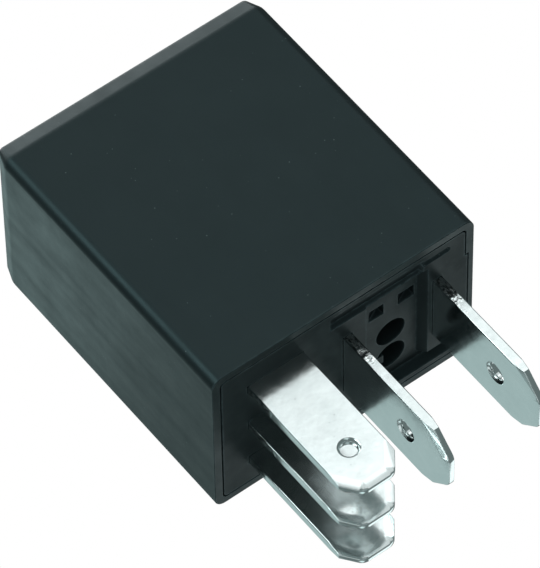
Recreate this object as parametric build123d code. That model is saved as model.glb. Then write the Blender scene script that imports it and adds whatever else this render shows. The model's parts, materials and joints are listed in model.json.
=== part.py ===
from build123d import *
import math
import os

# Micro change-over relay with five plug-in tabs. Millimetres, +Z towards the cap.
# Everything is drawn from the seating plane (the cover's rim, z = 0) with the tabs pointing
# down, and is lifted by TAB_REACH when it is written, so the row stands on its tab tips.

# Cover
COVER_L = 22.5
COVER_W = 15.0
COVER_H = 25.2
WALL = 0.8
RIM_WALL = 0.68
RIM_DEPTH = 3.0
TOP_WALL = 1.0
EDGE_R = 0.9
INNER_R = 0.4
CAP_BEVEL_H = 1.5
CAP_BEVEL_IN = 0.55
CAP_ROUND = 0.5
CAP_BLEND = 1.2
LATCH_HALF = 3.9
LATCH_DEPTH = 0.25
LATCH_H = 2.2

# Base
BASE_GAP = 0.1
BASE_H = RIM_DEPTH
BASE_R = 0.35
PANEL = [(1.9, -5.0), (7.3, -5.0), (7.3, 4.9), (9.9, 4.9), (9.9, 6.3), (1.9, 6.3)]
PANEL_DEPTH = 0.7
TROUGH = [(-1.2, -6.25), (6.9, -6.25), (6.9, -4.9), (-1.2, -4.9)]
TROUGH_DEPTH = 0.35
RELIEF_SLOPE = 35
GROOVE_X = 7.9
GROOVE_Y = -5.8
GROOVE_L = 2.6
GROOVE_W = 0.6
GROOVE_DEPTH = 0.2
GROOVE_SLOPE = 40
VENT_R = 1.25
VENT_X = 4.57
VENT_Y = (0.87, 3.59)
VENT_RIB_X = (3.1, 3.95)
VENT_RIB_Y = (3.2, 4.0)
VENT_RIB_H = 1.6
WINDOW_X = ((2.65, 3.95), (5.2, 6.6))
WINDOW_Y = (-3.0, -1.8)
WINDOW_DEPTH = 0.75
WINDOW_SLOPE = 28
SLOT_PLAY = 0.03
RAIL_X = (-2.0, 8.4)
RAIL_Y = (3.9, 5.0)
RAIL_TOP = 4.4
BOSS_X = (-8.7, -3.1)
BOSS_Y = (3.55, 5.2)
BOSS_TOP = 4.6
DIVIDER_X = (-10.3, -8.45)
DIVIDER_HALF = 0.65
DIVIDER_TOP = 16.9

# Tabs: power tabs lie across X, the small ones across Y
TAB_T = 0.8
TAB_WIDE = 6.3
TAB_NARROW = 4.8
TAB_REACH = 11.5
POWER_TIP = (3.0, 1.75)
SMALL_TIP = (2.6, 1.45)
TAB_TIP_R = 0.9
TAB_COIN_LENGTH = 0.75
TAB_COIN_DEPTH = 0.18
TAB_EDGE = 0.06
POWER_HOLE_Z = -6.9
POWER_HOLE_R = 0.75
SMALL_HOLE_Z = -8.1
SMALL_HOLE_R = 0.62
HOLE_LIP = 0.2
X_30 = 8.1
X_87 = 0.3
X_SMALL = -5.9
Y_SMALL = 4.2
STRIP_LOW = 3.05
STRIP_X = -9.9
STRIP_Y = (0.8, 3.4)
STRIP_FOOT = -6.0
TONGUE_END = -5.7
TONGUE_Y = (-1.6, 1.0)
POST_W = 1.4
POST_TOP = 8.4

# Magnet system
YOKE_T = 1.2
YOKE_W = 10.0
YOKE_X = 9.7
YOKE_TOP = 17.7
YOKE_BEND_R = 1.0
FOOT_END = -2.2
STAKE_HALF = 2.5
COIL_X = 1.6
CORE_R = 3.0
SPIGOT_R = 1.75
POLE_R = 4.2
POLE_T = 0.8
CLOSED_GAP = 0.02
TUBE_R = 3.55
WINDING_R = 5.4
FLANGE_W = 11.8
FLANGE_T = 0.8
FLANGE_X0 = -4.3
LOW_FLANGE_X1 = 7.4
HIGH_FLANGE_X1 = 8.2
FLANGE_R = 2.0
LEAD_R = 0.12
LEAD_ANGLE = 215
LEAD_START_Z = 7.0
LEAD_END_Z = 7.3

# Suppression resistor, on top of the coil posts
RESISTOR_L = 5.6
RESISTOR_R = 0.95
RESISTOR_BEAD_R = 1.15
RESISTOR_BEAD_L = 1.2
RESISTOR_WIRE_R = 0.3
RESISTOR_WIRE_Y = (2.95, 4.6)

# Armature and contacts, drawn closed and then opened by OPEN_ANGLE about the hinge line
OPEN_ANGLE = 3.2
ARMATURE_T = 1.2
ARMATURE_W = 9.2
ARMATURE_END = 9.2
ARMATURE_NOSE = -4.4
ARMATURE_NOSE_W = 5.2
ARMATURE_SHOULDER = -1.5
LEAF_T = 0.25
LEAF_W = 8.0
LEAF_TAIL = 9.0
LEAF_HINGE_R = 1.2
LEAF_SET_R = 3.0
LEAF_TIP = -8.3
LEAF_TIP_W = 3.5
LEAF_TAPER_X = (-3.5, 1.0)
CONTACT_X = -7.0
CONTACT_R = 1.2
CONTACT_SHANK_R = 0.7
CONTACT_HEAD = 0.6
FIXED_HEAD = 0.5
RIVET_R = 0.75
RIVET_HEAD_R = 1.25
RIVET_HEAD = 0.35
RIVET_Y = (-2.4, 2.4)
YOKE_RIVET_Z = 11.5
ARMATURE_RIVET_X = 4.0
PLAY = 0.02

ARMATURE_LOW = YOKE_TOP + CLOSED_GAP
LEAF_LOW = ARMATURE_LOW + ARMATURE_T + 0.01
RESISTOR_Z = POST_TOP + 0.31
HINGE = Axis((ARMATURE_END, 0, YOKE_TOP), (0, 1, 0))


def block(x0, x1, y0, y1, z0, z1):
    """A box between two corners."""
    centre = Pos((x0 + x1) / 2, (y0 + y1) / 2, (z0 + z1) / 2)
    return centre * Box(x1 - x0, y1 - y0, z1 - z0)


def rounded_block(x0, x1, y0, y1, z0, z1, radius):
    """A box between two corners whose upright edges are rounded."""
    outline = Pos((x0 + x1) / 2, (y0 + y1) / 2, z0) * RectangleRounded(x1 - x0, y1 - y0, radius)
    return extrude(outline, z1 - z0)


def rod(radius, z0, z1, x=0.0, y=0.0):
    """An upright cylinder."""
    return Pos(x, y, (z0 + z1) / 2) * Cylinder(radius, z1 - z0)


def rod_x(radius, x0, x1, y, z):
    """A cylinder along X."""
    return Pos((x0 + x1) / 2, y, z) * Rot(0, 90, 0) * Cylinder(radius, x1 - x0)


def wire_between(start, end, radius):
    """A straight round wire from one point to another."""
    line = Line(start, end)
    return sweep(Plane(origin=start, z_dir=line % 0) * Circle(radius), path=line)


def opened(shape):
    """Turn a closed armature part up to the rest position."""
    return shape.rotate(HINGE, OPEN_ANGLE)


def save(shape, node):
    """Write one node, lifted so that the tab tips are at z = 0."""
    solids = shape.solids()
    lifted = [Pos(0, 0, TAB_REACH) * solid for solid in solids]
    export_step(lifted[0] if len(lifted) == 1 else Compound(lifted), f"parts/{node}.step")


def cover():
    """Shell with rounded corners, a bevelled cap and a thinner rim around the base."""
    straight = COVER_H - CAP_BEVEL_H
    outline = RectangleRounded(COVER_L, COVER_W, EDGE_R)
    slope = math.degrees(math.atan(CAP_BEVEL_IN / CAP_BEVEL_H))
    shell = extrude(outline, straight)
    shell += extrude(Pos(0, 0, straight) * outline, CAP_BEVEL_H, taper=slope)
    bend = [e for e in shell.edges() if abs(e.center().Z - straight) < 0.01 and e.length > 5]
    bend += [e for e in shell.edges().filter_by(GeomType.CIRCLE) if abs(e.center().Z - straight) < 0.01]
    shell = fillet(bend, CAP_BLEND)
    top_edges = shell.faces().sort_by(Axis.Z)[-1].edges()
    shell = fillet(top_edges, CAP_ROUND)
    half_l = COVER_L / 2
    half_w = COVER_W / 2
    shell -= rounded_block(-half_l + WALL, half_l - WALL, -half_w + WALL, half_w - WALL,
                           -1, COVER_H - TOP_WALL, INNER_R)
    shell -= rounded_block(-half_l + RIM_WALL, half_l - RIM_WALL, -half_w + RIM_WALL,
                           half_w - RIM_WALL, -1, RIM_DEPTH + BASE_GAP, INNER_R)
    latch_x = half_l - RIM_WALL + LATCH_DEPTH
    return shell - block(0, latch_x, -LATCH_HALF, LATCH_HALF, -1, LATCH_H)


def relief(points, depth):
    """A pocket in the underside, its sides sloping inwards from the given outline."""
    return extrude(make_face(Polyline(*points, close=True)), depth, taper=RELIEF_SLOPE)


def base_block():
    """The moulded plate that closes the cover, with its underside relief."""
    half_l = COVER_L / 2 - RIM_WALL - BASE_GAP
    half_w = COVER_W / 2 - RIM_WALL - BASE_GAP
    body = rounded_block(-half_l, half_l, -half_w, half_w, 0, BASE_H, BASE_R)
    body += block(half_l - 1, half_l + LATCH_DEPTH, -LATCH_HALF + BASE_GAP, LATCH_HALF - BASE_GAP,
                  0, LATCH_H - 2 * BASE_GAP)
    body -= relief(PANEL, PANEL_DEPTH)
    body -= relief(TROUGH, TROUGH_DEPTH)
    groove = Pos(GROOVE_X, GROOVE_Y) * SlotOverall(GROOVE_L, GROOVE_W)
    return body - extrude(groove, GROOVE_DEPTH, taper=GROOVE_SLOPE)


def base_holes():
    """Two round vents with a small rib in one, and two windows with sloping floors."""
    openings = [rod(VENT_R, -1, BASE_H + 1, VENT_X, y) for y in VENT_Y]
    openings[1] -= block(*VENT_RIB_X, *VENT_RIB_Y, 0, VENT_RIB_H)
    for x0, x1 in WINDOW_X:
        window = block(x0, x1, *WINDOW_Y, -1, PANEL_DEPTH + WINDOW_DEPTH)
        floor = block(-2, 4, *WINDOW_Y, 0, 2)
        openings.append(window - Pos(x0, 0, PANEL_DEPTH + 0.1) * Rot(0, -WINDOW_SLOPE, 0) * floor)
    return openings


def base():
    """Base plate with yoke rails, coil post bosses, and the divider between the contact strips."""
    body = base_block()
    for side in (-1, 1):
        body += block(*RAIL_X, *sorted(side * y for y in RAIL_Y), BASE_H - 0.5, RAIL_TOP)
        body += block(*BOSS_X, *sorted(side * y for y in BOSS_Y), BASE_H - 0.5, BOSS_TOP)
    body += block(*DIVIDER_X, -DIVIDER_HALF, DIVIDER_HALF, BASE_H - 0.5, DIVIDER_TOP)
    body -= base_holes()
    for x in (X_30, X_87):
        body -= tab_slot(x, 0, TAB_T, TAB_WIDE)
    for y in (-Y_SMALL, 0, Y_SMALL):
        body -= tab_slot(X_SMALL, y, TAB_NARROW, TAB_T)
    return body


def tab_slot(x, y, size_x, size_y):
    """The opening a tab passes through, with a little play."""
    half_x = size_x / 2 + SLOT_PLAY
    half_y = size_y / 2 + SLOT_PLAY
    return block(x - half_x, x + half_x, y - half_y, y + half_y, -2, 5)


def tab_outline(width, top, tip_flat, shoulder):
    """A tab's outline seen on its face: straight sides, bevelled corners, rounded tip."""
    half = width / 2
    tip = tip_flat / 2
    points = [(-half, top), (-half, -TAB_REACH + shoulder), (-tip, -TAB_REACH),
              (tip, -TAB_REACH), (half, -TAB_REACH + shoulder), (half, top)]
    outline = make_face(Polyline(*points, close=True))
    return fillet(outline.vertices().group_by(Axis.Y)[0], TAB_TIP_R)


def tab(width, top, tip_size, hole_z, hole_r):
    """A tab in the XZ plane, its faces across Y: coined tip and a detent hole with a lip."""
    start_of_tip = -TAB_REACH + tip_size[1]
    blade = extrude(Plane.XZ * tab_outline(width, top, *tip_size), TAB_T / 2, both=True)
    for end in (0, -1):
        face = blade.faces().sort_by(Axis.Y)[end]
        tip_edges = [e for e in face.edges() if e.center().Z < start_of_tip - 0.01]
        blade = chamfer(tip_edges, TAB_COIN_LENGTH, TAB_COIN_DEPTH, reference=face)
    long_edges = [e for e in blade.edges().filter_by(Axis.Z) if e.length > -start_of_tip]
    blade = chamfer(long_edges, TAB_EDGE)
    blade -= Pos(0, 0, hole_z) * Rot(90, 0, 0) * Cylinder(hole_r, 2 * TAB_T)
    for side in (-1, 1):
        lip = Pos(0, side * (TAB_T - HOLE_LIP) / 2, hole_z) * Rot(side * 90, 0, 0)
        blade -= lip * Cone(hole_r + HOLE_LIP, hole_r, HOLE_LIP)
    return blade


def power_tab(x, top):
    """A 6.3 mm tab turned so that its faces look along X."""
    blade = tab(TAB_WIDE, top, POWER_TIP, POWER_HOLE_Z, POWER_HOLE_R)
    return Pos(x, 0, 0) * Rot(0, 0, 90) * blade


def small_tab(y, top):
    """A 4.8 mm tab with its faces along Y."""
    return Pos(X_SMALL, y, 0) * tab(TAB_NARROW, top, SMALL_TIP, SMALL_HOLE_Z, SMALL_HOLE_R)


def terminal_30():
    """Common terminal, staked through the yoke's foot."""
    half = TAB_T / 2
    stake = block(X_30 - half, X_30 + half, -STAKE_HALF, STAKE_HALF,
                  RAIL_TOP - 0.4, RAIL_TOP + YOKE_T + 0.3)
    return power_tab(X_30, RAIL_TOP - 0.1) + stake


def rising_strip(y0, y1, top):
    """Upright contact carrier at the open end of the relay."""
    return block(STRIP_X, STRIP_X + TAB_T, y0, y1, STRIP_LOW, top)


def no_tongue_top():
    """Top of the lower contact tongue, set so that the contacts just meet when closed."""
    return LEAF_LOW - CONTACT_HEAD - PLAY - FIXED_HEAD


def moving_head_peak():
    """Highest point of the upper moving contact head in the open position."""
    reach = ARMATURE_END - CONTACT_X
    rise = LEAF_LOW + LEAF_T + CONTACT_HEAD - YOKE_TOP
    angle = math.radians(OPEN_ANGLE)
    return YOKE_TOP + (reach + CONTACT_R) * math.sin(angle) + rise * math.cos(angle)


def nc_tongue_low():
    """Underside of the upper contact tongue, above its contact's head."""
    return moving_head_peak() + PLAY + FIXED_HEAD


def open_contact_x():
    """Where the upper contact pair meets in the open position."""
    reach = ARMATURE_END - CONTACT_X
    rise = LEAF_LOW + LEAF_T + CONTACT_HEAD - YOKE_TOP
    angle = math.radians(OPEN_ANGLE)
    return ARMATURE_END - reach * math.cos(angle) + rise * math.sin(angle)


def terminal_87():
    """Normally-open terminal: along the base, up the end, and a tongue under the contact."""
    top = no_tongue_top()
    strip = power_tab(X_87, STRIP_LOW + TAB_T)
    strip += block(STRIP_X, X_87, *STRIP_Y, STRIP_LOW, STRIP_LOW + TAB_T)
    strip += rising_strip(*STRIP_Y, top)
    strip += block(STRIP_X, TONGUE_END, *STRIP_Y, top - TAB_T, top)
    strip += block(STRIP_X + 1.0, TONGUE_END, *TONGUE_Y, top - TAB_T, top)
    return strip - rod(CONTACT_SHANK_R + PLAY, top - 2, top + 1, CONTACT_X)


def terminal_87a():
    """Normally-closed terminal: a foot, a riser, and a tongue hooked over the contact."""
    low = nc_tongue_low()
    inner, outer = STRIP_Y
    strip = small_tab(0, STRIP_LOW + TAB_T)
    strip += block(STRIP_X + 1.8, STRIP_FOOT, -outer, TAB_T / 2, STRIP_LOW, STRIP_LOW + TAB_T)
    strip += block(STRIP_X, STRIP_FOOT, -outer, -inner, STRIP_LOW, STRIP_LOW + TAB_T)
    strip += rising_strip(-outer, -inner, low + TAB_T)
    tongue_end = TONGUE_END + 0.2
    strip += block(STRIP_X, tongue_end, -outer, -inner, low, low + TAB_T)
    strip += block(STRIP_X, tongue_end, *sorted(-y for y in TONGUE_Y), low, low + TAB_T)
    return strip - rod(CONTACT_SHANK_R + PLAY, low - 1, low + 2, open_contact_x())


def coil_terminal(y):
    """Coil terminal: the tab, its shoulder in the base, and a slim post for the wires."""
    post = block(X_SMALL - POST_W / 2, X_SMALL + POST_W / 2, y - TAB_T / 2, y + TAB_T / 2,
                 BASE_H, POST_TOP)
    return small_tab(y, BASE_H + 0.5) + post


def yoke():
    """L-shaped return path with a foot under the coil and a leg behind it."""
    half = YOKE_W / 2
    leg = block(YOKE_X - YOKE_T, YOKE_X, -half, half, RAIL_TOP, YOKE_TOP)
    foot = block(FOOT_END, YOKE_X, -half, half, RAIL_TOP, RAIL_TOP + YOKE_T)
    body = leg + foot
    bend = [e for e in body.edges().filter_by(Axis.Y)
            if e.center().X > YOKE_X - 0.01 and e.center().Z < RAIL_TOP + 0.01]
    body = fillet(bend, YOKE_BEND_R)
    slot = STAKE_HALF + PLAY
    body -= block(X_30 - TAB_T / 2 - PLAY, X_30 + TAB_T / 2, -slot, slot, RAIL_TOP - 1, RAIL_TOP + 2)
    body -= rod(SPIGOT_R, RAIL_TOP - 1, RAIL_TOP + 2, COIL_X)
    for y in RIVET_Y:
        body -= rod_x(RIVET_R + PLAY, YOKE_X - YOKE_T - 1, YOKE_X + 1, y, YOKE_RIVET_Z)
    return body


def core():
    """Soft-iron core: staked spigot, shank, and a pole cap with a softened edge."""
    foot_top = RAIL_TOP + YOKE_T
    cap_low = YOKE_TOP - CLOSED_GAP - POLE_T
    cap = rod(POLE_R, cap_low, cap_low + POLE_T, COIL_X)
    cap = chamfer(cap.edges().sort_by(Axis.Z)[-1], 0.15)
    shank = rod(CORE_R, foot_top, cap_low + 0.1, COIL_X)
    return cap + shank + rod(SPIGOT_R - 0.005, RAIL_TOP - 0.3, foot_top, COIL_X)


def bobbin():
    """Coil former: tube and two flanges, the upper one recessed around the pole cap."""
    low = RAIL_TOP + YOKE_T + PLAY
    high = YOKE_TOP - CLOSED_GAP - POLE_T - PLAY
    half = FLANGE_W / 2
    body = rod(TUBE_R, low, high, COIL_X)
    body += rounded_block(FLANGE_X0, LOW_FLANGE_X1, -half, half, low, low + FLANGE_T, FLANGE_R)
    body += rounded_block(FLANGE_X0, HIGH_FLANGE_X1, -half, half, high - FLANGE_T, high, FLANGE_R)
    return body - rod(CORE_R + 0.05, low - 1, high + 1, COIL_X)


def coil_winding():
    """Enamelled wire between the flanges, as one ring."""
    low = RAIL_TOP + YOKE_T + PLAY + FLANGE_T + 0.03
    high = YOKE_TOP - CLOSED_GAP - POLE_T - PLAY - FLANGE_T - 0.03
    return rod(WINDING_R, low, high, COIL_X) - rod(TUBE_R + 0.03, low - 1, high + 1, COIL_X)


def coil_lead(side):
    """Short wire from the winding to one coil post."""
    angle = math.radians(LEAD_ANGLE)
    start_r = WINDING_R + LEAD_R + 0.05
    start = (COIL_X + start_r * math.cos(angle), -side * start_r * math.sin(angle), LEAD_START_Z)
    end = (X_SMALL + POST_W / 2 + 0.05, side * Y_SMALL, LEAD_END_Z)
    return wire_between(start, end, LEAD_R)


def resistor_leads():
    """Two straight leads lying on top of the coil posts."""
    near, far = RESISTOR_WIRE_Y
    return Compound([wire_between((X_SMALL, side * near, RESISTOR_Z), (X_SMALL, side * far, RESISTOR_Z),
                                  RESISTOR_WIRE_R) for side in (-1, 1)])


def suppression_resistor():
    """Small axial resistor across the coil, with a bead at each end."""
    barrel = Rot(90, 0, 0) * Cylinder(RESISTOR_R, RESISTOR_L)
    bead_y = (RESISTOR_L - RESISTOR_BEAD_L) / 2
    for side in (-1, 1):
        bead = Rot(90, 0, 0) * Cylinder(RESISTOR_BEAD_R, RESISTOR_BEAD_L)
        barrel += Pos(0, side * bead_y, 0) * bead
    ends = barrel.edges().filter_by(GeomType.CIRCLE).group_by(SortBy.RADIUS)[-1]
    return Pos(X_SMALL, 0, RESISTOR_Z) * fillet(ends, 0.15)


def armature():
    """Hinged iron plate with a narrowed nose."""
    half = ARMATURE_W / 2
    nose = ARMATURE_NOSE_W / 2
    points = [(ARMATURE_END, -half), (ARMATURE_END, half), (ARMATURE_SHOULDER, half),
              (ARMATURE_NOSE, nose), (ARMATURE_NOSE, -nose), (ARMATURE_SHOULDER, -half)]
    plate = extrude(Pos(0, 0, ARMATURE_LOW) * make_face(Polyline(*points, close=True)), ARMATURE_T)
    for y in RIVET_Y:
        plate -= rod(RIVET_R + PLAY, ARMATURE_LOW - 1, LEAF_LOW + 1, ARMATURE_RIVET_X, y)
    return opened(plate)


def turned(x, z):
    """A point of the closed leaf, carried to the open position."""
    angle = math.radians(OPEN_ANGLE)
    dx = x - ARMATURE_END
    dz = z - YOKE_TOP
    return (ARMATURE_END + dx * math.cos(angle) + dz * math.sin(angle),
            YOKE_TOP - dx * math.sin(angle) + dz * math.cos(angle))


def meeting(p, q, r, s):
    """Where the line through p and q meets the line through r and s."""
    det = (p[0] - q[0]) * (r[1] - s[1]) - (p[1] - q[1]) * (r[0] - s[0])
    a = p[0] * q[1] - p[1] * q[0]
    b = r[0] * s[1] - r[1] * s[0]
    return ((a * (r[0] - s[0]) - (p[0] - q[0]) * b) / det,
            (a * (r[1] - s[1]) - (p[1] - q[1]) * b) / det)


def leaf_side(offset, radii):
    """One face line of the leaf: up the yoke's back, over the hinge, along the armature."""
    back = YOKE_X + 0.01 + offset
    lift = LEAF_LOW + offset
    hump_from = turned(8.0, lift + 0.45)
    hump_to = turned(5.9, lift)
    corner = meeting((back, LEAF_TAIL), (back, YOKE_TOP), hump_from, hump_to)
    return FilletPolyline((back, LEAF_TAIL), corner, hump_to, turned(LEAF_TIP, lift), radius=radii)


def contact_spring():
    """One bent leaf, riveted to the yoke and to the armature, narrowing to the contact."""
    inner = leaf_side(0.0, (LEAF_HINGE_R, LEAF_SET_R))
    outer = leaf_side(LEAF_T, (LEAF_HINGE_R + LEAF_T, LEAF_SET_R + LEAF_T))
    ends = Line(inner @ 0, outer @ 0) + Line(inner @ 1, outer @ 1)
    strip = extrude(Plane.XZ * make_face(inner + outer + ends), LEAF_W / 2, both=True)
    half = LEAF_W / 2
    tip = LEAF_TIP_W / 2
    narrow, wide = LEAF_TAPER_X
    tail = YOKE_X + 1
    front = LEAF_TIP - 1
    plan = Polyline((tail, -half), (tail, half), (wide, half), (narrow, tip), (front, tip),
                    (front, -tip), (narrow, -tip), (wide, -half), close=True)
    strip &= extrude(make_face(plan), COVER_H)
    for y in RIVET_Y:
        strip -= rod_x(RIVET_R + PLAY, YOKE_X - 1, YOKE_X + 1, y, YOKE_RIVET_Z)
        strip -= opened(rod(RIVET_R + PLAY, LEAF_LOW - 1, LEAF_LOW + 1, ARMATURE_RIVET_X, y))
    return strip - opened(rod(CONTACT_SHANK_R + PLAY, LEAF_LOW - 1, LEAF_LOW + 1, CONTACT_X))


def button(low, high, radius):
    """A contact head with softened edges."""
    head = rod(radius, low, high)
    return chamfer(head.edges().filter_by(GeomType.CIRCLE), 0.1)


def moving_contact():
    """Double-headed contact rivet at the leaf's tip."""
    leaf_top = LEAF_LOW + LEAF_T
    body = button(LEAF_LOW - CONTACT_HEAD, LEAF_LOW - 0.005, CONTACT_R)
    body += button(leaf_top + 0.005, leaf_top + CONTACT_HEAD, CONTACT_R)
    body += rod(CONTACT_SHANK_R, LEAF_LOW - 0.2, leaf_top + 0.2)
    return opened(Pos(CONTACT_X, 0, 0) * body)


def fixed_contact(face, side, x):
    """Contact rivet in a tongue; side is +1 where the head looks up, -1 where it looks down."""
    head_foot = face - side * FIXED_HEAD
    end = head_foot - side * (TAB_T + 0.25)
    head = button(min(face, head_foot + side * 0.005), max(face, head_foot + side * 0.005), CONTACT_R)
    shank = rod(CONTACT_SHANK_R, min(head_foot + side * 0.2, end), max(head_foot + side * 0.2, end))
    return Pos(x, 0, 0) * (head + shank)


def yoke_rivets():
    """Two rivets that hold the leaf's tail to the yoke's back."""
    head_x = YOKE_X + LEAF_T + 0.02
    rivets = []
    for y in RIVET_Y:
        head = rod_x(RIVET_HEAD_R, head_x, head_x + RIVET_HEAD, y, YOKE_RIVET_Z)
        head = chamfer(head.edges().filter_by(GeomType.CIRCLE).sort_by(Axis.X)[-1], 0.15)
        rivets.append(head + rod_x(RIVET_R, YOKE_X - YOKE_T - 0.2, head_x + 0.1, y, YOKE_RIVET_Z))
    return Compound(rivets)


def armature_rivets():
    """Two rivets through the leaf and the armature, flush underneath."""
    head_z = LEAF_LOW + LEAF_T + 0.01
    rivets = []
    for y in RIVET_Y:
        head = rod(RIVET_HEAD_R, head_z, head_z + RIVET_HEAD, ARMATURE_RIVET_X, y)
        head = chamfer(head.edges().sort_by(Axis.Z)[-1], 0.15)
        shank = rod(RIVET_R, ARMATURE_LOW + 0.05, head_z + 0.1, ARMATURE_RIVET_X, y)
        rivets.append(opened(head + shank))
    return Compound(rivets)


os.makedirs("parts", exist_ok=True)
save(cover(), "cover")
save(base(), "base")
save(terminal_30(), "terminal_30")
save(terminal_87(), "terminal_87")
save(terminal_87a(), "terminal_87a")
save(coil_terminal(Y_SMALL), "terminal_85")
save(coil_terminal(-Y_SMALL), "terminal_86")
save(yoke(), "yoke")
save(core(), "core")
save(bobbin(), "bobbin")
save(coil_winding(), "coil_winding")
save(coil_lead(-1), "coil_lead_start")
save(coil_lead(1), "coil_lead_end")
save(suppression_resistor(), "suppression_resistor")
save(resistor_leads(), "resistor_leads")
save(armature(), "armature")
save(contact_spring(), "contact_spring")
save(moving_contact(), "moving_contact")
save(armature_rivets(), "armature_rivets")
save(yoke_rivets(), "yoke_rivets")
save(fixed_contact(no_tongue_top() + FIXED_HEAD, 1, CONTACT_X), "normally_open_contact")
save(fixed_contact(nc_tongue_low() - FIXED_HEAD, -1, open_contact_x()), "normally_closed_contact")
print("hinge line at", ARMATURE_END, YOKE_TOP + TAB_REACH)
print("overall height", COVER_H + TAB_REACH)
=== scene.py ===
import json
import math

import bmesh
import bpy
from mathutils import Matrix, Vector


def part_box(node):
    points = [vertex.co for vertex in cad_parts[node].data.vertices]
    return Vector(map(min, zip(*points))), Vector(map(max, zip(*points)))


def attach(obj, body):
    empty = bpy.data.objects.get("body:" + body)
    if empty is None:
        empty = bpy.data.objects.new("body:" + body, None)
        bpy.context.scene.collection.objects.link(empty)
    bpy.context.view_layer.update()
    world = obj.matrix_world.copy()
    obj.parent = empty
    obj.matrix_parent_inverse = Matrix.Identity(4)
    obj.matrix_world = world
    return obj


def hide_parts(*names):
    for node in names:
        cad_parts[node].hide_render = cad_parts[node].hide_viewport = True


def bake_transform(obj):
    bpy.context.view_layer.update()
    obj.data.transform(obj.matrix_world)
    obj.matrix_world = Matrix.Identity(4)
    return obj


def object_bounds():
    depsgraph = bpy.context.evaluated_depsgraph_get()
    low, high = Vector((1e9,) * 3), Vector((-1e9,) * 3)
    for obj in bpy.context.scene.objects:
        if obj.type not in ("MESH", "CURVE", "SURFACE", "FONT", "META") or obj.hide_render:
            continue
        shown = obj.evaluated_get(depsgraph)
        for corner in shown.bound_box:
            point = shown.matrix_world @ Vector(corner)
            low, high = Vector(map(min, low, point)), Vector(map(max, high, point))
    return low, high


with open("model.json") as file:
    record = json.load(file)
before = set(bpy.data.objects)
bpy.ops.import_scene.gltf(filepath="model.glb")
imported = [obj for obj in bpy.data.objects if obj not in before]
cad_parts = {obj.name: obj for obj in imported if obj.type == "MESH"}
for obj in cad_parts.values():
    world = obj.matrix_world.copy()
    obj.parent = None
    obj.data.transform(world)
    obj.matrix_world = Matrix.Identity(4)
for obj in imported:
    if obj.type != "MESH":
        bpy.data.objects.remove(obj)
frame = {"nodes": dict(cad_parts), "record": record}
cad_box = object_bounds()

MM = 0.001
NODES = frame["nodes"]
SEAT_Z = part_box("cover")[0].z
CENTRE = (cad_box[0] + cad_box[1]) / 2

# Camera: where it looks, how far off it stands, and how it is turned (degrees)
AIM = Vector((-1.453 * MM, -3.614 * MM, SEAT_Z + 6.431 * MM))
CAMERA_DISTANCE = 450 * MM
CAMERA_HEADING = 66.876
CAMERA_CLIMB = 27.872
CAMERA_ROLL = -43.465
CAMERA_LENS = 416.1

# Wire and solder
COIL_WIRE_R = 0.11 * MM
COIL_STEPS = 48
SPOOL_SHARE = 0.86
LEAD_R = 0.1 * MM
LEAD_SAG = 0.35 * MM
LEAD_WRAPS = 3
LEAD_STEPS = 28
POST_HALF_W = 0.7 * MM
POST_HALF_T = 0.4 * MM
SOLDER_SIZE = (0.50 * MM, 0.36 * MM, 0.40 * MM)
SOLDER_INSET = 0.42 * MM
SOLDER_DROP = 0.12 * MM
SOLDER_RINGS = 9
SOLDER_SIDES = 16

# Dark, ragged patches on the sheared edges next to the seat
DARK_RAGGED_FROM = SEAT_Z - 2.6 * MM
DARK_RAGGED_FULL = SEAT_Z - 2.0 * MM


# ---------------------------------------------------------------- camera

def make_camera():
    """Looks at the relay from below its seat, rolled so that the wide side is up."""
    heading, climb = math.radians(CAMERA_HEADING), math.radians(CAMERA_CLIMB)
    forward = Vector((math.cos(heading) * math.cos(climb), math.sin(heading) * math.cos(climb),
                      math.sin(climb)))
    level = forward.to_track_quat("-Z", "Y").to_matrix()
    turn = level @ Matrix.Rotation(math.radians(CAMERA_ROLL), 3, "Z")
    data = bpy.data.cameras.new("camera")
    data.sensor_width = 36.0
    data.lens = CAMERA_LENS
    data.clip_start = 0.01
    data.clip_end = 20.0
    camera = bpy.data.objects.new("camera", data)
    bpy.context.scene.collection.objects.link(camera)
    camera.matrix_world = Matrix.Translation(AIM - forward * CAMERA_DISTANCE) @ turn.to_4x4()
    bpy.context.scene.camera = camera


make_camera()


# ---------------------------------------------------------------- material tools

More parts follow.
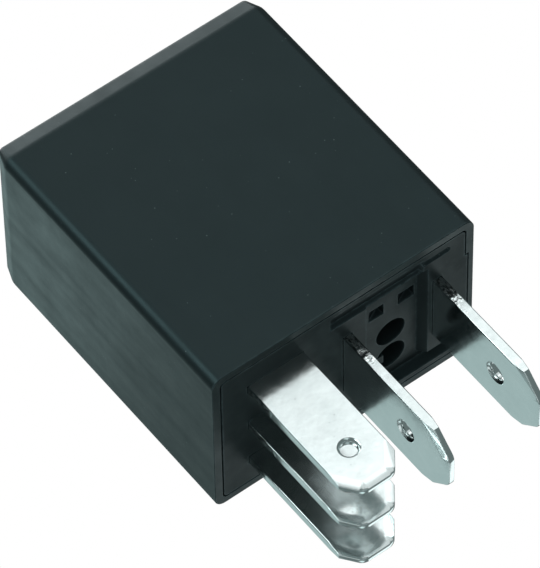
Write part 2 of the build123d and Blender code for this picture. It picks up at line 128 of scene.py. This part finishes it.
class Nodes:
    """A short way to build a material's node tree."""

    def __init__(self, name):
        self.material = bpy.data.materials.new(name)
        self.material.use_nodes = True
        self.tree = self.material.node_tree
        self.shader = self.tree.nodes["Principled BSDF"]
        self.place = self.add("ShaderNodeTexCoord").outputs["Object"]

    def add(self, kind, **settings):
        node = self.tree.nodes.new(kind)
        for key, value in settings.items():
            setattr(node, key, value)
        return node

    def link(self, source, socket):
        self.tree.links.new(source, socket)

    def put(self, name, value):
        """A constant, or a link, on one of the shader's sockets."""
        socket = self.shader.inputs[name]
        if isinstance(value, bpy.types.NodeSocket):
            self.link(value, socket)
        else:
            socket.default_value = value

    def scaled(self, scale):
        """Object coordinates in metres, stretched by a vector."""
        node = self.add("ShaderNodeMapping")
        node.inputs["Scale"].default_value = scale
        self.link(self.place, node.inputs["Vector"])
        return node.outputs["Vector"]

    def noise(self, scale, detail=3.0, roughness=0.5, stretch=(1, 1, 1)):
        """Noise with features about 1/scale metres across."""
        node = self.add("ShaderNodeTexNoise")
        node.inputs["Scale"].default_value = scale
        node.inputs["Detail"].default_value = detail
        node.inputs["Roughness"].default_value = roughness
        self.link(self.scaled(stretch), node.inputs["Vector"])
        return node.outputs["Fac"]

    def cells(self, scale):
        """Distance to scattered points, about 1/scale metres apart."""
        node = self.add("ShaderNodeTexVoronoi")
        node.inputs["Scale"].default_value = scale
        self.link(self.place, node.inputs["Vector"])
        return node.outputs["Distance"]

    def split(self, vector):
        """The X, Y and Z sockets of a vector."""
        node = self.add("ShaderNodeSeparateXYZ")
        self.link(vector, node.inputs["Vector"])
        return node.outputs

    def remap(self, value, low, high, to_low=0.0, to_high=1.0):
        node = self.add("ShaderNodeMapRange", clamp=True)
        self.link(value, node.inputs["Value"])
        for key, number in zip(("From Min", "From Max", "To Min", "To Max"),
                               (low, high, to_low, to_high)):
            node.inputs[key].default_value = number
        return node.outputs["Result"]

    def math(self, operation, a, b=0.0):
        node = self.add("ShaderNodeMath", operation=operation)
        for socket, value in zip(node.inputs, (a, b)):
            if isinstance(value, bpy.types.NodeSocket):
                self.link(value, socket)
            else:
                socket.default_value = value
        return node.outputs["Value"]

    def product(self, first, *others):
        """All of the values multiplied together."""
        for other in others:
            first = self.math("MULTIPLY", first, other)
        return first

    def mix(self, factor, a, b):
        """Colour a turning into colour b; either may be a colour or a link."""
        node = self.add("ShaderNodeMix", data_type="RGBA")
        for name, value in (("Factor", factor), ("A", a), ("B", b)):
            socket = next(s for s in node.inputs if s.name == name and s.enabled)
            if isinstance(value, bpy.types.NodeSocket):
                self.link(value, socket)
            elif isinstance(value, (int, float)):
                socket.default_value = value
            else:
                socket.default_value = (*value, 1.0)
        return next(s for s in node.outputs if s.enabled)

    def edge(self, radius, low=0.86, high=0.995):
        """Near 1 on edges that are sharper than radius, 0 on flat faces."""
        bevel = self.add("ShaderNodeBevel", samples=6)
        bevel.inputs["Radius"].default_value = radius
        flat = self.add("ShaderNodeNewGeometry").outputs["Normal"]
        dot = self.add("ShaderNodeVectorMath", operation="DOT_PRODUCT")
        self.link(bevel.outputs["Normal"], dot.inputs[0])
        self.link(flat, dot.inputs[1])
        return self.remap(dot.outputs["Value"], low, high, 1.0, 0.0)

    def bump(self, *layers):
        """Stacks (height, depth in metres) layers into the shader's normal."""
        normal = None
        for height, depth in layers:
            node = self.add("ShaderNodeBump")
            node.inputs["Distance"].default_value = depth
            node.inputs["Strength"].default_value = 1.0
            self.link(height, node.inputs["Height"])
            if normal is not None:
                self.link(normal, node.inputs["Normal"])
            normal = node.outputs["Normal"]
        self.put("Normal", normal)


# ---------------------------------------------------------------- materials

def plastic(name, dark, light, rough, grain, specks, gloss=0.32):
    """Satin moulded plastic: spark-eroded grain, slow colour drift, fine dust, and edges lightened
    partly by rubbing wear and partly as a painted highlight.
    """
    m = Nodes(name)
    drift = m.remap(m.noise(220.0, 4.0, 0.6), 0.3, 0.7)
    colour = m.mix(drift, dark, light)
    dust = m.remap(m.cells(specks), 0.045, 0.09, 1.0, 0.0)
    sparse = m.remap(m.noise(specks * 0.37, 2.0), 0.56, 0.64)
    colour = m.mix(m.product(dust, sparse, 0.55), colour, (0.16, 0.20, 0.20))
    scuffs = m.remap(m.noise(1800.0, 4.0, 0.7), 0.38, 0.62, 0.15, 0.8)
    # Lighter edges: partly real rubbed wear, partly a painted highlight standing in for the sheen
    # on rounded edges.
    rubbed_and_highlit_edge = m.product(m.edge(0.25 * MM, 0.90, 0.999), scuffs)
    colour = m.mix(rubbed_and_highlit_edge, colour, tuple(6.0 * c for c in light))
    m.put("Base Color", colour)
    patches = m.remap(m.noise(330.0, 5.0, 0.65), 0.25, 0.75, rough - 0.05, rough + 0.06)
    streaks = m.remap(m.noise(900.0, 3.0, 0.5, (1.0, 1.0, 0.06)), 0.35, 0.7, 0.0, 0.06)
    m.put("Roughness", m.math("ADD", patches, streaks))
    m.put("Specular IOR Level", gloss)
    m.put("Specular Tint", (0.62, 0.95, 1.0, 1.0))
    m.bump((m.noise(9000.0, 2.0), grain), (m.noise(1500.0, 2.0), grain * 1.5))
    return m.material


def plated(name, tint, dull, rough, wear=0.5, lines=(1.0, 1.0, 0.05)):
    """Plated sheet: drawn lines, cloudy plating, small pits and bright worn edges."""
    m = Nodes(name)
    cloud = m.remap(m.noise(700.0, 5.0, 0.6), 0.3, 0.72)
    colour = m.mix(cloud, tint, dull)
    pits = m.remap(m.cells(2600.0), 0.05, 0.11, 1.0, 0.0)
    some = m.remap(m.noise(900.0, 1.0), 0.52, 0.6)
    colour = m.mix(m.product(pits, some, 0.5), colour, tuple(0.45 * c for c in dull))
    bright = tuple(min(1.0, 1.08 * c) for c in tint)
    colour = m.mix(m.product(m.edge(0.09 * MM), wear), colour, bright)
    m.put("Base Color", colour)
    m.put("Metallic", 1.0)
    drawn = m.noise(5200.0, 2.0, 0.5, lines)
    spread = m.remap(cloud, 0.0, 1.0, rough - 0.05, rough + 0.07)
    m.put("Roughness", m.math("ADD", spread, m.remap(drawn, 0.3, 0.7, -0.03, 0.04)))
    m.bump((drawn, 0.0012 * MM), (m.noise(1400.0, 3.0), 0.004 * MM))
    return m.material


def tin_plate(name, sheared_axis):
    """Bright tin over a stamped strip: faint drawing lines, small dents and stains, and sheared
    edges (they face along sheared_axis, 0 for X, 1 for Y) that are darkened and ragged near the
    seat."""
    m = Nodes(name)
    facing = m.split(m.add("ShaderNodeTexCoord").outputs["Normal"])
    sheared = m.remap(m.math("ABSOLUTE", facing[sheared_axis]), 0.75, 0.95)
    height = m.split(m.place)["Z"]
    wander = m.product(m.math("SUBTRACT", m.noise(1100.0, 3.0), 0.5), 4.0 * MM)
    dark_ragged_band = m.remap(m.math("ADD", height, wander), DARK_RAGGED_FROM, DARK_RAGGED_FULL)
    dark_ragged_band = m.product(dark_ragged_band, m.math("LESS_THAN", height, SEAT_Z), sheared)
    cloud = m.remap(m.noise(520.0, 5.0, 0.62), 0.32, 0.72)
    colour = m.mix(cloud, (0.86, 0.885, 0.885), (0.78, 0.815, 0.815))
    marks = m.remap(m.cells(1700.0), 0.04, 0.12, 1.0, 0.0)
    some = m.remap(m.noise(700.0, 1.0), 0.5, 0.58)
    colour = m.mix(m.product(marks, some, 0.45), colour, (0.42, 0.47, 0.47))
    patches = m.remap(m.noise(4200.0, 4.0, 0.7, (1.0, 1.0, 0.5)), 0.47, 0.55, 0.0, 0.85)
    # Near-black ragged patches in the colour of the sheared edges, only next to the seat.
    colour = m.mix(m.product(dark_ragged_band, patches), colour, (0.05, 0.065, 0.065))
    m.put("Base Color", colour)
    m.put("Metallic", 1.0)
    m.put("Roughness", m.remap(m.noise(1300.0, 4.0, 0.6), 0.3, 0.7, 0.13, 0.21))
    ragged = m.product(dark_ragged_band, m.noise(4200.0, 3.0, 0.6, (1.0, 1.0, 0.5)))
    rippled = m.product(sheared, m.noise(1500.0, 2.0, 0.5, (1.0, 1.0, 0.3)))
    drawn = m.noise(4200.0, 1.0, 0.5, (1.0, 1.0, 0.04))
    m.bump((drawn, 0.0006 * MM), (m.noise(900.0, 2.0, 0.5), 0.008 * MM),
           (rippled, 0.010 * MM), (ragged, 0.03 * MM))
    return m.material


def enamelled_copper():
    """Enamelled magnet wire: copper under a clear amber coat, darker here and there."""
    m = Nodes("enamelled_copper")
    tone = m.remap(m.noise(420.0, 4.0, 0.6), 0.3, 0.7)
    colour = m.mix(tone, (0.50, 0.17, 0.055), (0.62, 0.24, 0.085))
    m.put("Base Color", colour)
    m.put("Metallic", 0.85)
    m.put("Roughness", m.remap(m.noise(1800.0, 3.0), 0.3, 0.7, 0.24, 0.34))
    m.put("Coat Weight", 0.35)
    m.bump((m.noise(2400.0, 2.0), 0.0015 * MM))
    return m.material


def resistor_enamel():
    """Blue dipped enamel with generic colour bands round the body."""
    m = Nodes("resistor_enamel")
    tone = m.remap(m.noise(900.0, 4.0), 0.3, 0.7)
    colour = m.mix(tone, (0.06, 0.20, 0.34), (0.10, 0.29, 0.44))
    wobble = m.product(m.math("SUBTRACT", m.noise(700.0, 2.0), 0.5), 0.25 * MM)
    across = m.math("ADD", m.split(m.place)["Y"], wobble)
    for place, paint in ((-2.1, (0.45, 0.20, 0.02)), (-1.0, (0.02, 0.015, 0.012)),
                         (-0.1, (0.38, 0.02, 0.012)), (2.1, (0.55, 0.40, 0.12))):
        distance = m.math("ABSOLUTE", m.math("SUBTRACT", across, place * MM))
        colour = m.mix(m.remap(distance, 0.22 * MM, 0.26 * MM, 1.0, 0.0), colour, paint)
    m.put("Base Color", colour)
    m.put("Roughness", m.remap(m.noise(2500.0, 2.0), 0.3, 0.7, 0.24, 0.4))
    m.put("Coat Weight", 0.3)
    m.bump((m.noise(2500.0, 3.0), 0.01 * MM))
    return m.material


def floor_paint():
    """Pale matt floor that is clear from underneath."""
    m = Nodes("floor_paint")
    tone = m.remap(m.noise(14.0, 3.0), 0.3, 0.7)
    m.put("Base Color", m.mix(tone, (0.80, 0.81, 0.81), (0.84, 0.85, 0.85)))
    m.put("Roughness", 0.8)
    clear = m.add("ShaderNodeBsdfTransparent").outputs["BSDF"]
    behind = m.add("ShaderNodeNewGeometry").outputs["Backfacing"]
    mixed = m.add("ShaderNodeMixShader")
    m.link(behind, mixed.inputs["Fac"])
    m.link(m.shader.outputs["BSDF"], mixed.inputs[1])
    m.link(clear, mixed.inputs[2])
    m.link(mixed.outputs["Shader"], m.tree.nodes["Material Output"].inputs["Surface"])
    return m.material


MATERIALS = {
    "cover_plastic": plastic("cover_plastic", (0.0048, 0.0068, 0.0074), (0.0064, 0.0088, 0.0095),
                             0.40, 0.0022 * MM, 1900.0),
    "base_plastic": plastic("base_plastic", (0.0065, 0.0085, 0.0095), (0.009, 0.0125, 0.0135),
                            0.46, 0.0035 * MM, 2600.0, 0.22),
    "bobbin_plastic": plastic("bobbin_plastic", (0.55, 0.52, 0.43), (0.62, 0.59, 0.50),
                              0.42, 0.003 * MM, 2600.0),
    "power_tab_tin": tin_plate("power_tab_tin", 1),
    "small_tab_tin": tin_plate("small_tab_tin", 0),
    "zinc_plate": plated("zinc_plate", (0.66, 0.67, 0.66), (0.52, 0.53, 0.53), 0.33),
    "spring_alloy": plated("spring_alloy", (0.83, 0.52, 0.27), (0.72, 0.43, 0.21), 0.26, 0.4,
                           (0.05, 1.0, 0.05)),
    "contact_silver": plated("contact_silver", (0.86, 0.85, 0.81), (0.70, 0.69, 0.65), 0.28),
    "rivet_steel": plated("rivet_steel", (0.70, 0.69, 0.66), (0.58, 0.57, 0.55), 0.30),
    "tinned_wire": plated("tinned_wire", (0.80, 0.81, 0.79), (0.66, 0.67, 0.66), 0.26),
    "enamelled_copper": enamelled_copper(),
    "resistor_enamel": resistor_enamel(),
}
POWER_TABS = ("terminal_30", "terminal_87")


# ---------------------------------------------------------------- pieces

SLOT_OF = {part["node"]: part["material_slot"] for part in frame["record"]["subparts"]}
BODY_OF = {node: body for body, nodes in frame["record"]["behaviour"]["bodies"].items()
           for node in nodes}


def finish_of(node):
    """The material that a CAD node's stand-in wears."""
    if SLOT_OF[node] == "tin_plate":
        return "power_tab_tin" if node in POWER_TABS else "small_tab_tin"
    return SLOT_OF[node]


def piece_from(name, mesh, finish):
    """Puts a mesh in the scene as one piece with one material."""
    piece = bpy.data.objects.new(name, mesh)
    bpy.context.scene.collection.objects.link(piece)
    mesh.materials.clear()
    mesh.materials.append(MATERIALS[finish])
    return piece


def stands_for(piece, node):
    """Hides the CAD node that the piece stands in for."""
    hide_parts(node)
    return piece


def shape_of(node):
    """A CAD node's shape in millimetres, with its seams closed and its flat faces whole."""
    shape = bmesh.new()
    shape.from_mesh(NODES[node].data)
    bmesh.ops.scale(shape, vec=Vector((1, 1, 1)) / MM, verts=shape.verts)
    bmesh.ops.remove_doubles(shape, verts=shape.verts, dist=0.002)
    bmesh.ops.dissolve_limit(shape, angle_limit=math.radians(0.6), verts=shape.verts,
                             edges=shape.edges)
    return shape


def round_edges(shape, width):
    """Rolls every edge that is sharper than 26 degrees over a small radius (millimetres)."""
    limit = math.radians(26)
    sharp = [e for e in shape.edges if len(e.link_faces) == 2 and e.calc_face_angle(0) > limit]
    bmesh.ops.bevel(shape, geom=sharp, offset=width, segments=2, profile=0.5,
                    affect="EDGES", clamp_overlap=True)


def cut_across(shape, axis, low, high, count):
    """Adds rings of vertices so that a shape can bend smoothly."""
    normal = Vector((axis == 0, axis == 1, axis == 2))
    for i in range(count):
        place = normal * (low + (high - low) * i / (count - 1))
        bmesh.ops.bisect_plane(shape, geom=shape.verts[:] + shape.edges[:] + shape.faces[:],
                               plane_co=place, plane_no=normal)


def settle(shape, name, finish):
    """Turns a millimetre shape into a piece in metres with clean shading."""
    bmesh.ops.scale(shape, vec=Vector((MM, MM, MM)), verts=shape.verts)
    for face in shape.faces:
        face.smooth = True
    mesh = bpy.data.meshes.new(name)
    shape.to_mesh(mesh)
    shape.free()
    piece = piece_from(name, mesh, finish)
    weighted = piece.modifiers.new("even_shading", "WEIGHTED_NORMAL")
    weighted.weight = 80
    weighted.keep_sharp = True
    return piece


def softened(node, name, width):
    """Stands for a CAD node: the same shape, with edges as stamping or moulding leaves them."""
    shape = shape_of(node)
    round_edges(shape, width)
    piece = settle(shape, name, finish_of(node))
    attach(piece, BODY_OF[node])
    return stands_for(piece, node)


def tube(points, radius, sides):
    """A round wire along points, as vertices and faces."""
    verts, faces = [], []
    for i, point in enumerate(points):
        ahead = points[min(i + 1, len(points) - 1)] - points[max(i - 1, 0)]
        ahead.normalize()
        side = ahead.cross(Vector((0, 0, 1)))
        side.normalize()
        lift = side.cross(ahead)
        for k in range(sides):
            turn = 2 * math.pi * k / sides
            verts.append(point + radius * (math.cos(turn) * side + math.sin(turn) * lift))
    for i in range(len(points) - 1):
        for k in range(sides):
            a, b = i * sides + k, i * sides + (k + 1) % sides
            faces.append((a, b, b + sides, a + sides))
    faces.append(tuple(range(sides))[::-1])
    faces.append(tuple(range((len(points) - 1) * sides, len(points) * sides)))
    return verts, faces


def mesh_of(name, verts, faces):
    """A smooth-shaded mesh."""
    mesh = bpy.data.meshes.new(name)
    mesh.from_pydata(verts, [], faces)
    for polygon in mesh.polygons:
        polygon.use_smooth = True
    mesh.validate()
    return mesh


def on_circle(axis, radius, step, z):
    """A point of the coil, one of COIL_STEPS to a turn."""
    angle = 2 * math.pi * step / COIL_STEPS
    return Vector((axis.x + radius * math.cos(angle), axis.y + radius * math.sin(angle), z))


def make_winding():
    """The coil's outer layer as one long helix of wire over a solid ring of turns."""
    low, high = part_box("coil_winding")
    axis = (low + high) / 2
    radius = (high.x - low.x) / 2 - COIL_WIRE_R
    turns = int((high.z - low.z) / (2.04 * COIL_WIRE_R))
    pitch = (high.z - low.z - 2 * COIL_WIRE_R) / turns
    points = [on_circle(axis, radius, i, low.z + COIL_WIRE_R + pitch * i / COIL_STEPS)
              for i in range(turns * COIL_STEPS + 1)]
    verts, faces = tube(points, COIL_WIRE_R, 6)
    pole_low, pole_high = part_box("core")
    spool = (pole_high.x - pole_low.x) / 2 * SPOOL_SHARE
    rings = [(radius, low.z), (radius, high.z), (spool, high.z), (spool, low.z)]
    first = len(verts)
    for ring_radius, z in rings:
        verts += [on_circle(axis, ring_radius, k, z) for k in range(COIL_STEPS)]
    for r in range(len(rings)):
        here = first + r * COIL_STEPS
        beyond = first + (r + 1) % len(rings) * COIL_STEPS
        for k in range(COIL_STEPS):
            ahead = (k + 1) % COIL_STEPS
            faces.append((here + k, here + ahead, beyond + ahead, beyond + k))
    piece = piece_from("winding", mesh_of("winding", verts, faces), "enamelled_copper")
    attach(piece, BODY_OF["coil_winding"])
    return stands_for(piece, "coil_winding")


def make_lead(node, name, side):
    """A winding end: leaves the coil, sags a little and wraps round its post."""
    low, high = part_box(node)
    post_low, post_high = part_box("terminal_86" if side < 0 else "terminal_85")
    post = (post_low + post_high) / 2
    half_x = POST_HALF_W + LEAD_R
    half_y = POST_HALF_T + LEAD_R
    start = Vector((high.x, side * min(abs(low.y), abs(high.y)), low.z + LEAD_R))
    arrive = Vector((post.x + half_x, post.y, high.z))
    points = []
    for i in range(13):
        sag = Vector((0, 0, -LEAD_SAG)) * math.sin(math.pi * i / 12)
        points.append(start.lerp(arrive, i / 12) + sag)
    for i in range(1, LEAD_WRAPS * LEAD_STEPS + 1):
        angle = 2 * math.pi * i / LEAD_STEPS
        c, s = math.cos(angle), math.sin(angle)
        stretch = 1.0 / max(abs(c), abs(s)) ** 0.75
        points.append(Vector((post.x + half_x * c * stretch, post.y + side * half_y * s * stretch,
                              high.z + 2.1 * LEAD_R * i / LEAD_STEPS)))
    verts, faces = tube(points, LEAD_R, 8)
    piece = piece_from(name, mesh_of(name, verts, faces), "enamelled_copper")
    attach(piece, BODY_OF[node])
    return stands_for(piece, node)


def make_leaf():
    """The contact spring, with rolled edges and extra rings of vertices across its top and along
    its length.
    """
    shape = shape_of("contact_spring")
    round_edges(shape, 0.03)
    low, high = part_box("contact_spring")
    cut_across(shape, 2, high.z / MM - 3.4, high.z / MM - 0.1, 16)
    cut_across(shape, 0, 5.0, 9.9, 20)
    piece = settle(shape, "leaf_spring", "spring_alloy")
    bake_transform(piece)
    return stands_for(piece, "contact_spring")


def make_solder():
    """Two small uneven beads of solder where the resistor's leads lie on the coil posts."""
    low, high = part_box("resistor_leads")
    verts, faces = [], []
    for side in (-1, 1):
        middle = Vector(((low.x + high.x) / 2, side * (high.y - SOLDER_INSET),
                         (low.z + high.z) / 2 - SOLDER_DROP))
        first = len(verts)
        for r in range(SOLDER_RINGS):
            lat = math.pi * (r + 0.5) / SOLDER_RINGS
            for k in range(SOLDER_SIDES):
                lon = 2 * math.pi * k / SOLDER_SIDES
                bulge = 1.0 + 0.07 * math.sin(3 * lon + side) * math.sin(2 * lat)
                ball = (math.sin(lat) * math.cos(lon), math.sin(lat) * math.sin(lon), math.cos(lat))
                verts.append(middle + Vector([a * b * bulge for a, b in zip(SOLDER_SIZE, ball)]))
        for r in range(SOLDER_RINGS - 1):
            for k in range(SOLDER_SIDES):
                a = first + r * SOLDER_SIDES + k
                b = first + r * SOLDER_SIDES + (k + 1) % SOLDER_SIDES
                faces.append((a, a + SOLDER_SIDES, b + SOLDER_SIDES, b))
        last = first + (SOLDER_RINGS - 1) * SOLDER_SIDES
        faces.append(tuple(range(first, first + SOLDER_SIDES)))
        faces.append(tuple(range(last, last + SOLDER_SIDES))[::-1])
    piece = piece_from("solder_beads", mesh_of("solder_beads", verts, faces), "tinned_wire")
    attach(piece, "frame")
    return piece


# CAD node: the piece that stands for it, and how far its edges are rolled over (millimetres)
SOFTENED = {
    "cover": ("cover_moulding", 0.05),
    "base": ("base_moulding", 0.05),
    "terminal_30": ("tab_common", 0.045),
    "terminal_87": ("tab_normally_open", 0.045),
    "terminal_87a": ("tab_normally_closed", 0.045),
    "terminal_85": ("tab_coil_end", 0.045),
    "terminal_86": ("tab_coil_start", 0.045),
    "yoke": ("yoke_plate", 0.08),
    "core": ("core_and_pole", 0.06),
    "bobbin": ("bobbin_moulding", 0.08),
    "suppression_resistor": ("resistor_body", 0.03),
    "resistor_leads": ("resistor_wires", 0.03),
    "armature": ("armature_plate", 0.08),
    "moving_contact": ("contact_moving", 0.05),
    "armature_rivets": ("rivets_on_armature", 0.05),
    "yoke_rivets": ("rivets_on_yoke", 0.05),
    "normally_open_contact": ("contact_below", 0.05),
    "normally_closed_contact": ("contact_above", 0.05),
}
for node_name, (piece_name, roll) in SOFTENED.items():
    softened(node_name, piece_name, roll)
make_winding()
make_lead("coil_lead_start", "lead_start", -1)
make_lead("coil_lead_end", "lead_end", 1)
make_leaf()
make_solder()


# ---------------------------------------------------------------- stage and light

def make_floor():
    """A pale floor at the tab tips. It lets the low camera and the low lamps through."""
    half = 1.5
    mesh = bpy.data.meshes.new("floor")
    low = cad_box[0].z - 0.02 * MM
    corners = [(-half, -half, low), (half, -half, low), (half, half, low), (-half, half, low)]
    mesh.from_pydata(corners, [], [(0, 1, 2, 3)])
    floor = bpy.data.objects.new("floor", mesh)
    bpy.context.scene.collection.objects.link(floor)
    mesh.materials.append(floor_paint())
    floor.visible_shadow = False
    floor.visible_glossy = False


# Name, direction from the relay, distance, width, height (metres), brightness, colour
LAMPS = (
    ("wide_side_panel", (0.35, -0.88, 0.32), 0.50, 0.50, 0.60, 0.62, (0.95, 1.0, 1.0)),
    ("level_panel", (0.35, -0.90, 0.30), 0.50, 0.34, 0.13, 0.65, (0.95, 1.0, 1.0)),
    ("corner_panel", (-0.58, -0.68, 0.40), 0.50, 0.28, 0.44, 3.2, (0.85, 1.0, 1.0)),
    ("back_panel", (-0.35, 0.82, 0.40), 0.50, 0.50, 0.50, 0.33, (0.74, 1.0, 0.99)),
    ("back_near_panel", (-0.36, 0.69, 0.72), 0.10, 0.045, 0.045, 0.85, (0.72, 1.0, 0.99)),
    ("low_back_panel", (0.42, 0.80, -0.43), 0.20, 0.09, 0.09, 1.1, (0.9, 1.0, 1.0)),
    ("low_slope_panel", (-0.30, 0.82, -0.48), 0.30, 0.11, 0.11, 0.8, (0.8, 1.0, 1.0)),
    ("low_front_panel", (-0.2, -0.75, -0.65), 0.60, 0.30, 0.30, 0.6, (0.85, 1.0, 1.0)),
    ("low_side_panel", (-0.80, 0.15, -0.30), 0.50, 0.40, 0.40, 0.7, (0.9, 1.0, 1.0)),
    ("top_panel", (0.1, -0.1, 1.0), 0.60, 0.55, 0.55, 3.0, (1.0, 1.0, 1.0)),
)


def make_lamp(name, direction, distance, width, height, radiance, colour):
    """A soft panel that looks at the relay; radiance is how bright its face is."""
    data = bpy.data.lights.new(name, "AREA")
    data.shape = "RECTANGLE"
    data.size = width
    data.size_y = height
    data.energy = radiance * math.pi * width * height
    data.color = colour
    lamp = bpy.data.objects.new(name, data)
    bpy.context.scene.collection.objects.link(lamp)
    toward = Vector(direction).normalized()
    lamp.location = CENTRE + toward * distance
    lamp.rotation_mode = "QUATERNION"
    lamp.rotation_quaternion = toward.to_track_quat("Z", "Y")
    lamp.visible_camera = False
    return lamp


def make_world():
    """White behind the object, and a dimmer room for light and reflections."""
    world = bpy.data.worlds.new("room")
    bpy.context.scene.world = world
    world.use_nodes = True
    tree = world.node_tree
    tree.nodes.clear()
    seen = tree.nodes.new("ShaderNodeBackground")
    seen.inputs["Color"].default_value = (1.0, 1.0, 1.0, 1.0)
    room = tree.nodes.new("ShaderNodeBackground")
    room.inputs["Color"].default_value = (0.78, 1.0, 0.99, 1.0)
    room.inputs["Strength"].default_value = 0.18
    path = tree.nodes.new("ShaderNodeLightPath")
    mixed = tree.nodes.new("ShaderNodeMixShader")
    out = tree.nodes.new("ShaderNodeOutputWorld")
    tree.links.new(path.outputs["Is Camera Ray"], mixed.inputs["Fac"])
    tree.links.new(room.outputs["Background"], mixed.inputs[1])
    tree.links.new(seen.outputs["Background"], mixed.inputs[2])
    tree.links.new(mixed.outputs["Shader"], out.inputs["Surface"])


make_floor()
make_world()
for lamp_settings in LAMPS:
    make_lamp(*lamp_settings)
bpy.context.scene.view_settings.view_transform = "Standard"
